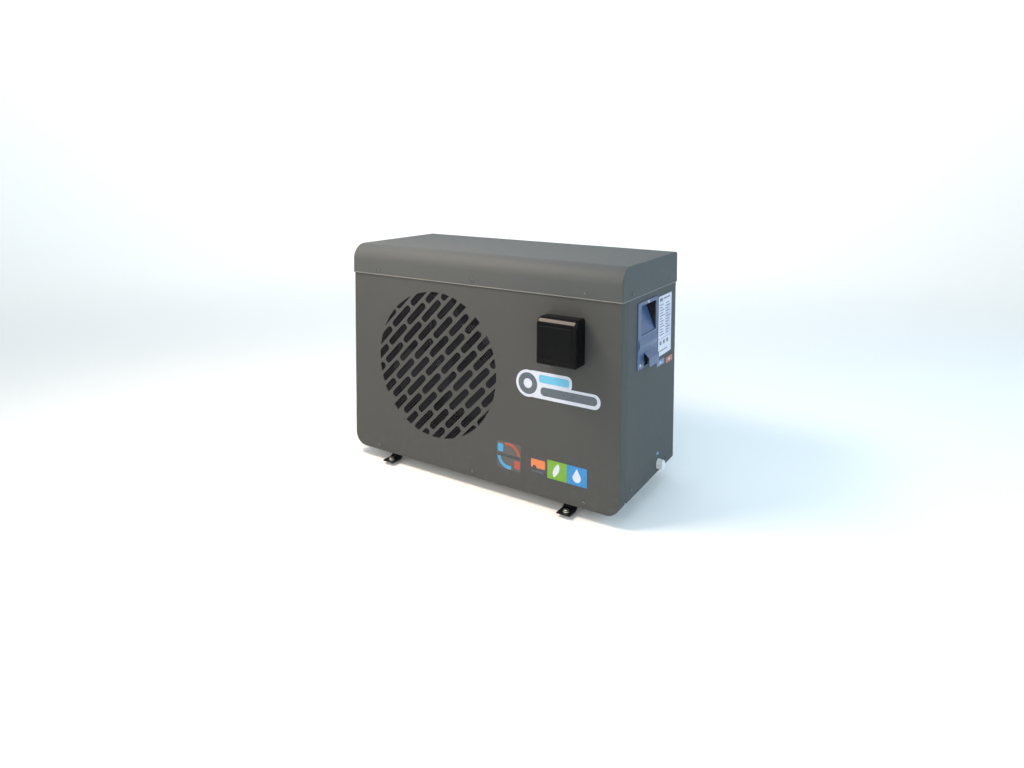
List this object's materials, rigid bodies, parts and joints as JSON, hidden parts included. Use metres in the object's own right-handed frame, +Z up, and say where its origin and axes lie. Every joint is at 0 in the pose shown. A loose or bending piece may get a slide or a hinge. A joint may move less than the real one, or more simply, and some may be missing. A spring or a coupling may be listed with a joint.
{
  "type": "pool heat pump unit",
  "caption": "Free-standing air-source pool heat pump: steel case with round slotted air outlet, flap-covered controller, end grips, rear coil and two union water connections.",
  "frame": {"origin": "on the floor, midway between the four foot screws", "axes": "+X towards the machine and controller end, -Y the front with the air outlet, +Z up"},
  "size_m": [0.9236, 0.5165, 0.658],
  "materials": {
    "case_grey": "satin powder coat",
    "cover_grey": "satin powder coat",
    "rail_black": "semi-gloss paint",
    "zinc": "zinc plated",
    "galvanised": "galvanised sheet",
    "mesh_black": "matt black coat",
    "guard_grey": "plastic-dipped wire",
    "shroud_plastic": "textured",
    "fan_plastic": "moulded",
    "shaft_steel": "ground",
    "motor_paint": "grey enamel",
    "fin_aluminium": "rolled fins",
    "copper_tube": "drawn copper",
    "compressor_black": "gloss enamel",
    "rubber_black": "matt",
    "tank_white": "smooth",
    "valve_brass": "forged",
    "board_green": "solder mask",
    "capacitor_grey": "can",
    "terminal_cream": "moulded",
    "union_black": "moulded PVC",
    "pvc_grey": "moulded PVC",
    "white_plastic": "moulded",
    "gloss_black": "polished",
    "console_black": "fine texture",
    "display_glass": "LCD window",
    "button_grey": "soft touch",
    "moulding_blue": "satin moulding",
    "label_white": "laminated label",
    "label_colour": "laminated label",
    "badge_film": "printed film"
  },
  "bodies": {
    "case": {"top_cover": "cover_grey", "front_panel": "case_grey", "right_side_panel": "cover_grey", "left_side_panel": "cover_grey", "rear_panel": "cover_grey", "base_pan": "case_grey", "coil_guard": "guard_grey", "partition_plate": "galvanised", "foot_rails": "rail_black", "foot_screws": "zinc", "case_screws": "zinc", "grille_mesh": "mesh_black", "fan_shroud": "shroud_plastic", "fan_motor": "motor_paint", "motor_bracket": "galvanised", "coil_fins": "fin_aluminium", "coil_bends": "copper_tube", "coil_end_plates": "galvanised", "compressor": "compressor_black", "compressor_mounts": "rubber_black", "accumulator": "compressor_black", "heat_exchanger": "tank_white", "exchanger_bracket": "galvanised", "four_way_valve": "valve_brass", "expansion_valve": "valve_brass", "filter_drier": "copper_tube", "discharge_pipe": "copper_tube", "suction_pipe": "copper_tube", "gas_pipes": "copper_tube", "liquid_pipes": "copper_tube", "electrical_box": "galvanised", "electrical_box_lid": "galvanised", "circuit_board": "board_green", "capacitor": "capacitor_grey", "terminal_block": "terminal_cream", "flow_switch": "union_black", "water_connections": "union_black", "union_seals": "rubber_black", "union_tails": "pvc_grey", "drain_nipple": "white_plastic", "condensate_spout": "white_plastic", "controller_base": "console_black", "controller_hinge_pin": "shaft_steel", "controller_display": "display_glass", "cable_cover": "moulding_blue", "cable_gland": "union_black", "left_grip": "moulding_blue", "rating_label": "label_white", "side_labels": "label_colour", "front_badges": "badge_film"},
    "fan": {"fan_rotor": "fan_plastic", "fan_shaft": "shaft_steel"},
    "inlet_nut": {"inlet_union_nut": "union_black"},
    "outlet_nut": {"outlet_union_nut": "union_black"},
    "drain_cap": {"drain_cap": "white_plastic"},
    "lid": {"controller_lid": "gloss_black"},
    "button_power": {"button_power": "button_grey"},
    "button_mode": {"button_mode": "button_grey"},
    "button_up": {"button_up": "button_grey"},
    "button_down": {"button_down": "button_grey"}
  },
  "joints": [
    {"name": "fan_spin", "type": "hinge", "parent": "case", "child": "fan", "pos_m": [-0.133, -0.1395, 0.3275], "axis": [0, -1, 0], "continuous": true},
    {"name": "inlet_nut_turn", "type": "hinge", "parent": "case", "child": "inlet_nut", "pos_m": [0.33, 0.21, 0.15], "axis": [0, 1, 0], "continuous": true},
    {"name": "outlet_nut_turn", "type": "hinge", "parent": "case", "child": "outlet_nut", "pos_m": [0.33, 0.21, 0.38], "axis": [0, 1, 0], "continuous": true},
    {"name": "drain_cap_turn", "type": "hinge", "parent": "case", "child": "drain_cap", "pos_m": [0.458, 0.0675, 0.077], "axis": [1, 0, 0], "continuous": true},
    {"name": "lid_flip", "type": "hinge", "parent": "case", "child": "lid", "pos_m": [0.295, -0.2, 0.518], "axis": [-1, 0, 0], "range_deg": [0, 88]},
    {"name": "power_press", "type": "slide", "parent": "case", "child": "button_power", "axis": [0, 1, 0], "range_m": [0, 0.0012], "stiffness_N_per_m": 400, "springref_m": -0.001},
    {"name": "mode_press", "type": "slide", "parent": "case", "child": "button_mode", "axis": [0, 1, 0], "range_m": [0, 0.0012], "stiffness_N_per_m": 400, "springref_m": -0.001},
    {"name": "up_press", "type": "slide", "parent": "case", "child": "button_up", "axis": [0, 1, 0], "range_m": [0, 0.0012], "stiffness_N_per_m": 400, "springref_m": -0.001},
    {"name": "down_press", "type": "slide", "parent": "case", "child": "button_down", "axis": [0, 1, 0], "range_m": [0, 0.0012], "stiffness_N_per_m": 400, "springref_m": -0.001}
  ]
}
